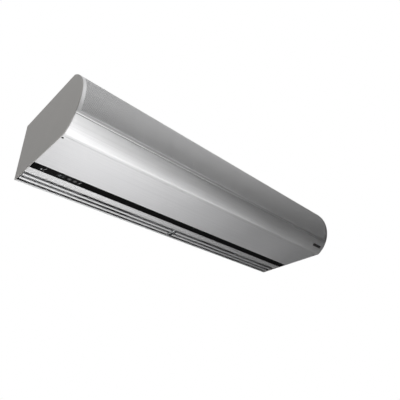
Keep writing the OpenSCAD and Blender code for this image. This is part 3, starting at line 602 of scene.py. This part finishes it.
# Cells to the metre, and the strand's width and shading in cells
mesh_cells = 420
strand_half_width = 0.05
strand_shade = 0.15
mesh_finish, tree, surface = material("filter_mesh_weave", 1, 0.5)
coords = tree.nodes.new("ShaderNodeTexCoord")
strand = add(tree, "ShaderNodeTexVoronoi", feature="DISTANCE_TO_EDGE")
strand.inputs["Scale"].default_value = mesh_cells
tree.links.new(coords.outputs["Object"], strand.inputs["Vector"])
open_cell_painted_shade = add(tree, "ShaderNodeMapRange", clamp=True)
open_cell_painted_shade.inputs["From Min"].default_value = strand_half_width
open_cell_painted_shade.inputs["From Max"].default_value = strand_half_width + strand_shade
tree.links.new(strand.outputs["Distance"], open_cell_painted_shade.inputs["Value"])
# Painted shade: the open cells are near-black, for the dark inside seen through the mesh
tint(tree, open_cell_painted_shade.outputs["Result"], (0.16, 0.16, 0.165), (0.004, 0.004, 0.004),
     surface.inputs["Base Color"])
level(tree, open_cell_painted_shade.outputs["Result"], 0.45, 0.9, surface.inputs["Roughness"])
relief(tree, surface, open_cell_painted_shade.outputs["Result"], 0.6, 0.0005)
dress(mesh_finish, "filter_mesh")


# Nozzle rails and vanes
# Satin anodised extrusions. The front rail is a flat with a ridge along each edge, the rear one
# stands against the back, and two thin vanes turn on pins between them.

rail_finish, tree, surface = material("rail_satin_anodised", 1, 0.36)
lines = effect(tree, along_lines, "Lines", Fineness=1.2)
tint(tree, lines, (0.84, 0.84, 0.845), (0.9, 0.9, 0.905), surface.inputs["Base Color"])
level(tree, lines, 0.24, 0.32, surface.inputs["Roughness"])
dress(rail_finish, "nozzle_rail_front", "nozzle_rail_rear")
rail_easing = 0.0005
for name in ("nozzle_rail_front", "nozzle_rail_rear"):
    ease_edges(nodes[name], rail_easing)

vane_finish, tree, surface = material("vane_satin_anodised", 1, 0.33)
lines = effect(tree, along_lines, "Lines", Fineness=1.5)
tint(tree, lines, (0.58, 0.58, 0.585), (0.66, 0.66, 0.665), surface.inputs["Base Color"])
level(tree, lines, 0.3, 0.36, surface.inputs["Roughness"])
dress(vane_finish, "vane_front", "vane_rear")

moulded_black, tree, surface = material("moulded_black", 0, 0.5)
texture = effect(tree, smudges, "Patches", Size=900)
tint(tree, texture, (0.012, 0.012, 0.012), (0.02, 0.02, 0.02), surface.inputs["Base Color"])
level(tree, texture, 0.45, 0.6, surface.inputs["Roughness"])
relief(tree, surface, texture, 0.2, 0.0001)
dress(moulded_black, "vane_end_brackets", "button_switches", "motor_mount_rings", "cable_grommet")


# Control strip
# A semi-gloss black channel along the underside. Near its left end it carries a satin keypad
# plate with a lamp, a smoked display window and two round push-buttons.

strip_finish, tree, surface = material("strip_black", 0, 0.3)
specks = effect(tree, smudges, "Patches", Size=300)
patches = effect(tree, smudges, "Patches", Size=7)
tint(tree, specks, (0.0015, 0.0015, 0.0016), (0.003, 0.003, 0.0031), surface.inputs["Base Color"])
level(tree, patches, 0.26, 0.4, surface.inputs["Roughness"])
surface.inputs["Specular IOR Level"].default_value = 0.015
dress(strip_finish, "control_strip")

film_finish, tree, surface = material("keypad_film", 0, 0.38)
texture = effect(tree, smudges, "Patches", Size=1500)
tint(tree, texture, (0.004, 0.004, 0.0044), (0.0065, 0.0065, 0.007), surface.inputs["Base Color"])
level(tree, texture, 0.34, 0.46, surface.inputs["Roughness"])
surface.inputs["Specular IOR Level"].default_value = 0.03
dress(film_finish, "keypad_plate")

window_finish, tree, surface = material("smoked_window", 0, 0.08)
patches = effect(tree, smudges, "Patches", Size=60)
tint(tree, patches, (0.004, 0.005, 0.006), (0.007, 0.008, 0.009), surface.inputs["Base Color"])
level(tree, patches, 0.05, 0.16, surface.inputs["Roughness"])
surface.inputs["Specular IOR Level"].default_value = 0.08
dress(window_finish, "display_window")

lens_finish, tree, surface = material("lamp_lens", 0, 0.2)
patches = effect(tree, smudges, "Patches", Size=500)
tint(tree, patches, (0.6, 0.61, 0.62), (0.7, 0.71, 0.72), surface.inputs["Base Color"])
surface.inputs["Emission Color"].default_value = (0.9, 0.93, 1, 1)
surface.inputs["Emission Strength"].default_value = 0.3
dress(lens_finish, "indicator_lens")

button_finish, tree, surface = material("button_satin", 0, 0.42)
texture = effect(tree, smudges, "Patches", Size=1200)
tint(tree, texture, (0.036, 0.036, 0.038), (0.054, 0.054, 0.056), surface.inputs["Base Color"])
level(tree, texture, 0.36, 0.5, surface.inputs["Roughness"])
dress(button_finish, "button_up", "button_down")

ink_finish, tree, surface = material("printed_ink", 0, 0.55)
texture = effect(tree, smudges, "Patches", Size=2500)
tint(tree, texture, (0.42, 0.42, 0.42), (0.5, 0.5, 0.5), surface.inputs["Base Color"])

arrow_finish, tree, surface = material("arrow_ink", 0, 0.55)
texture = effect(tree, smudges, "Patches", Size=2500)
tint(tree, texture, (0.13, 0.13, 0.13), (0.17, 0.17, 0.17), surface.inputs["Base Color"])

digit_finish, tree, surface = material("lit_segments", 0, 0.4)
texture = effect(tree, smudges, "Patches", Size=2500)
tint(tree, texture, (0.3, 0.33, 0.35), (0.36, 0.39, 0.41), surface.inputs["Base Color"])
surface.inputs["Emission Color"].default_value = (0.75, 0.9, 1, 1)
surface.inputs["Emission Strength"].default_value = 0.03

mark_height = 0.0001


def flat_mark(name, outline, face_z, finish, body):
    """A thin printed shape on a face that looks down; the outline is (x, y) in turn."""
    points = [(x, y, z) for z in (face_z, face_z - mark_height) for x, y in outline]
    piece = new_piece(name, points, prism_faces(len(outline)), finish)
    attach(piece, body)


plate_low, plate_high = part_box("keypad_plate")
keypad_y = (plate_low.y + plate_high.y) / 2
divider_reach = 0.007
divider_lean = 0.003
divider_half_width = 0.0006
dividers_from_end = (0.043, 0.155)
for k, from_end in enumerate(dividers_from_end):
    x = -half_length + from_end
    flat_mark(f"keypad_divider_{k}", [
        (x + divider_lean - divider_half_width, keypad_y - divider_reach),
        (x + divider_lean + divider_half_width, keypad_y - divider_reach),
        (x - divider_lean + divider_half_width, keypad_y + divider_reach),
        (x - divider_lean - divider_half_width, keypad_y + divider_reach)],
        plate_low.z, ink_finish, "root")

arrow_reach = 0.0026
for node, body, way in (("button_up", "up_button", 1), ("button_down", "down_button", -1)):
    low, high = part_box(node)
    x = (low.x + high.x) / 2
    flat_mark(node + "_arrow", [
        (x - way * arrow_reach, keypad_y + way * arrow_reach / 2),
        (x, keypad_y - way * arrow_reach),
        (x + way * arrow_reach, keypad_y + way * arrow_reach / 2)],
        low.z, arrow_finish, body)

# The display shows 21. Each segment joins two corners of a digit's frame, two squares high
segment_ends = {"a": ((0, 2), (1, 2)), "b": ((1, 1), (1, 2)), "c": ((1, 0), (1, 1)),
                "d": ((0, 0), (1, 0)), "e": ((0, 0), (0, 1)), "f": ((0, 1), (0, 2)),
                "g": ((0, 1), (1, 1))}
segment_length = 0.0045
segment_half_width = 0.0005
segment_gap = 0.0006
digit_pitch = 0.009
window_low, window_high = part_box("display_window")
lit_segments = ("abged", "bc")
for digit, lit in enumerate(lit_segments):
    left = (window_low.x + window_high.x - digit_pitch - segment_length) / 2 + digit * digit_pitch
    bottom = (window_low.y + window_high.y) / 2 + segment_length
    for letter in lit:
        (i0, j0), (i1, j1) = segment_ends[letter]
        along_x, along_y = i1 - i0, j1 - j0
        ends = []
        for i, j, way in ((i0, j0, 1), (i1, j1, -1)):
            ends.append((left + segment_length * i + way * along_x * segment_gap,
                         bottom - segment_length * j - way * along_y * segment_gap))
        (x0, y0), (x1, y1) = ends
        t = segment_half_width
        outline = [(x0, y0), (x0 + (along_x + along_y) * t, y0 - (along_x + along_y) * t),
                   (x1 - (along_x - along_y) * t, y1 - (along_x - along_y) * t), (x1, y1),
                   (x1 - (along_x + along_y) * t, y1 + (along_x + along_y) * t),
                   (x0 + (along_x - along_y) * t, y0 + (along_x - along_y) * t)]
        flat_mark(f"digit_{digit}_{letter}", outline, window_low.z, digit_finish, "root")

board_finish, tree, surface = material("lacquered_board", 0, 0.35)
tracks = effect(tree, spangle, "Tone", Crystals=420)
tint(tree, tracks, (0.006, 0.06, 0.025), (0.012, 0.11, 0.045), surface.inputs["Base Color"])
level(tree, tracks, 0.3, 0.42, surface.inputs["Roughness"])
dress(board_finish, "control_board")


# Blowers and motor
# Two zinc-coated scroll housings hold pressed-steel wheels on one through shaft. The motor hangs
# between them in rubber rings, painted dark grey.

housing_finish, tree, surface = material("housing_zinc", 1, 0.4)
tone = effect(tree, spangle, "Tone", Crystals=80)
tint(tree, tone, (0.36, 0.37, 0.38), (0.54, 0.55, 0.56), surface.inputs["Base Color"])
level(tree, tone, 0.34, 0.5, surface.inputs["Roughness"])
dress(housing_finish, "blower_housing_left", "blower_housing_right", "terminal_box",
      "terminal_box_lid", "capacitor_clamp")

wheel_finish, tree, surface = material("wheel_pressed_steel", 1, 0.36)
lines = effect(tree, along_lines, "Lines", Fineness=0.5)
tint(tree, lines, (0.34, 0.345, 0.35), (0.48, 0.485, 0.49), surface.inputs["Base Color"])
level(tree, lines, 0.3, 0.45, surface.inputs["Roughness"])
dress(wheel_finish, "blower_wheel_left", "blower_wheel_right")

ground_finish, tree, surface = material("ground_steel", 1, 0.2)
lines = effect(tree, along_lines, "Lines", Fineness=3)
tint(tree, lines, (0.5, 0.5, 0.5), (0.64, 0.64, 0.64), surface.inputs["Base Color"])
level(tree, lines, 0.16, 0.3, surface.inputs["Roughness"])
dress(ground_finish, "fan_shaft", "motor_bearings", "outboard_bearings")

paint_finish, tree, surface = material("motor_paint", 0, 0.45)
peel = effect(tree, smudges, "Patches", Size=180)
tint(tree, peel, (0.022, 0.025, 0.028), (0.034, 0.037, 0.041), surface.inputs["Base Color"])
level(tree, peel, 0.4, 0.52, surface.inputs["Roughness"])
relief(tree, surface, peel, 0.25, 0.0003)
dress(paint_finish, "motor_shell", "motor_end_bells")

lamination_bands = 320
core_finish, tree, surface = material("varnished_laminations", 1, 0.5)
coords = tree.nodes.new("ShaderNodeTexCoord")
stack = add(tree, "ShaderNodeTexWave", wave_type="BANDS", bands_direction="X")
stack.inputs["Scale"].default_value = lamination_bands
tree.links.new(coords.outputs["Object"], stack.inputs["Vector"])
tint(tree, stack.outputs["Fac"], (0.12, 0.1, 0.085), (0.26, 0.24, 0.22),
     surface.inputs["Base Color"])
relief(tree, surface, stack.outputs["Fac"], 0.5, 0.0002)
dress(core_finish, "motor_stator", "motor_rotor")


# Electrical parts
# A cream terminal block hangs inside the steel box at the left end. The motor's run capacitor is
# a drawn aluminium can under a strap.

terminal_finish, tree, surface = material("terminal_plastic", 0, 0.45)
texture = effect(tree, smudges, "Patches", Size=300)
tint(tree, texture, (0.62, 0.58, 0.48), (0.7, 0.66, 0.56), surface.inputs["Base Color"])
level(tree, texture, 0.4, 0.52, surface.inputs["Roughness"])
dress(terminal_finish, "terminal_block")

can_finish, tree, surface = material("capacitor_can", 1, 0.3)
lines = effect(tree, along_lines, "Lines", Fineness=2)
tint(tree, lines, (0.52, 0.52, 0.53), (0.64, 0.64, 0.65), surface.inputs["Base Color"])
level(tree, lines, 0.26, 0.38, surface.inputs["Roughness"])
dress(can_finish, "run_capacitor")


# Studio
# A pale floor well below the unit, lit by soft lamps, and a white surround that gives little
# light from the right, so that the brushed panels are brightest at the control end.

camera_place = (-0.94495, -1.12162, -0.78511)
camera_heading = math.radians(45.18)
camera_rise = math.radians(30.05)
camera_roll = math.radians(-1.364)
camera_lens = 36.7
camera = bpy.data.objects.new("camera", bpy.data.cameras.new("camera"))
bpy.context.scene.collection.objects.link(camera)
camera.data.lens = camera_lens
camera.matrix_world = (
    Matrix.Translation(camera_place) @ Matrix.Rotation(-camera_heading, 4, "Z")
    @ Matrix.Rotation(math.pi / 2 + camera_rise, 4, "X") @ Matrix.Rotation(camera_roll, 4, "Z"))
bpy.context.scene.camera = camera


def maths(tree, operation, first, second, clamp=False):
    """Works one value out of two, each given as a number or as a node's output."""
    node = add(tree, "ShaderNodeMath", operation=operation, use_clamp=clamp)
    for socket, term in zip(node.inputs, (first, second)):
        if isinstance(term, (int, float)):
            socket.default_value = term
        else:
            tree.links.new(term, socket)
    return node.outputs["Value"]


# The camera sees the floor paler than the unit's reflections do
floor_grey = 0.8
seen_glow = 0.75
floor_finish, tree, surface = material("floor_pale", 0, 0.7)
surface.inputs["Base Color"].default_value = (floor_grey, floor_grey, floor_grey, 1)
surface.inputs["Emission Color"].default_value = (1, 1, 1, 1)
path = tree.nodes.new("ShaderNodeLightPath")
seen = maths(tree, "MULTIPLY", path.outputs["Is Camera Ray"], seen_glow)
tree.links.new(seen, surface.inputs["Emission Strength"])

floor_height = -2.2
floor_half = 12
floor_corners = [(x * floor_half, y * floor_half, floor_height)
                 for x, y in ((-1, -1), (1, -1), (1, 1), (-1, 1))]
floor = new_piece("floor", floor_corners, [(0, 1, 2, 3)], floor_finish)

# White where the camera sees it; elsewhere it glows by direction, most from overhead
front_glow = -0.487
back_glow = 0.309
overhead_glow = 0.685
diffuse_share = 0.15
far_share = 0.03
fall_start = 0.64
fall_end = 0.8
world = bpy.data.worlds.new("white_surround")
bpy.context.scene.world = world
world.use_nodes = True
tree = world.node_tree
background = tree.nodes["Background"]
background.inputs["Color"].default_value = (1, 1, 1, 1)
path = tree.nodes.new("ShaderNodeLightPath")
coords = tree.nodes.new("ShaderNodeTexCoord")
towards = tree.nodes.new("ShaderNodeSeparateXYZ")
tree.links.new(coords.outputs["Generated"], towards.inputs["Vector"])
front, back, above = [
    maths(tree, "MULTIPLY", towards.outputs[axis], glow, clamp=True)
    for axis, glow in (("Y", front_glow), ("Y", back_glow), ("Z", overhead_glow))]
around = maths(tree, "ADD", maths(tree, "ADD", front, back), above)
fall = add(tree, "ShaderNodeMapRange", clamp=True)
fall.inputs["From Min"].default_value = fall_start
fall.inputs["From Max"].default_value = fall_end
fall.inputs["To Min"].default_value = 1
fall.inputs["To Max"].default_value = far_share
tree.links.new(towards.outputs["X"], fall.inputs["Value"])
dimmed = maths(tree, "MULTIPLY", around, fall.outputs["Result"])
mirrored = maths(tree, "MAXIMUM", path.outputs["Is Glossy Ray"],
                 path.outputs["Is Transmission Ray"])
share = add(tree, "ShaderNodeMapRange", clamp=True)
share.inputs["To Min"].default_value = diffuse_share
share.inputs["To Max"].default_value = 1
tree.links.new(mirrored, share.inputs["Value"])
unseen = maths(tree, "MULTIPLY", dimmed, share.outputs["Result"])
strength = maths(tree, "MAXIMUM", path.outputs["Is Camera Ray"], unseen)
tree.links.new(strength, background.inputs["Strength"])


def soft_lamp(name, place, aim, width, length, power):
    """A rectangular area lamp that looks at a point."""
    lamp = bpy.data.lights.new(name, "AREA")
    lamp.shape = "RECTANGLE"
    lamp.size = width
    lamp.size_y = length
    lamp.energy = power
    holder = bpy.data.objects.new(name, lamp)
    bpy.context.scene.collection.objects.link(holder)
    holder.location = place
    holder.rotation_euler = (Vector(place) - Vector(aim)).to_track_quat("Z", "Y").to_euler()
    holder.visible_camera = False


# Three lamps hang lower than the unit and light the floor, which lights the underside
lamp_height = -0.9
for name, x, y, width, length, power in (
        ("floor_lamp_left", -0.6, -1.25, 1.2, 5, 77),
        ("floor_lamp_front", 0.3, -5, 1.8, 2.5, 51),
        ("floor_lamp_back", 0.95, 1.8, 1.6, 4.5, 51)):
    soft_lamp(name, (x, y, lamp_height), (x, y, floor_height), width, length, power)

bpy.context.scene.view_settings.view_transform = "Standard"
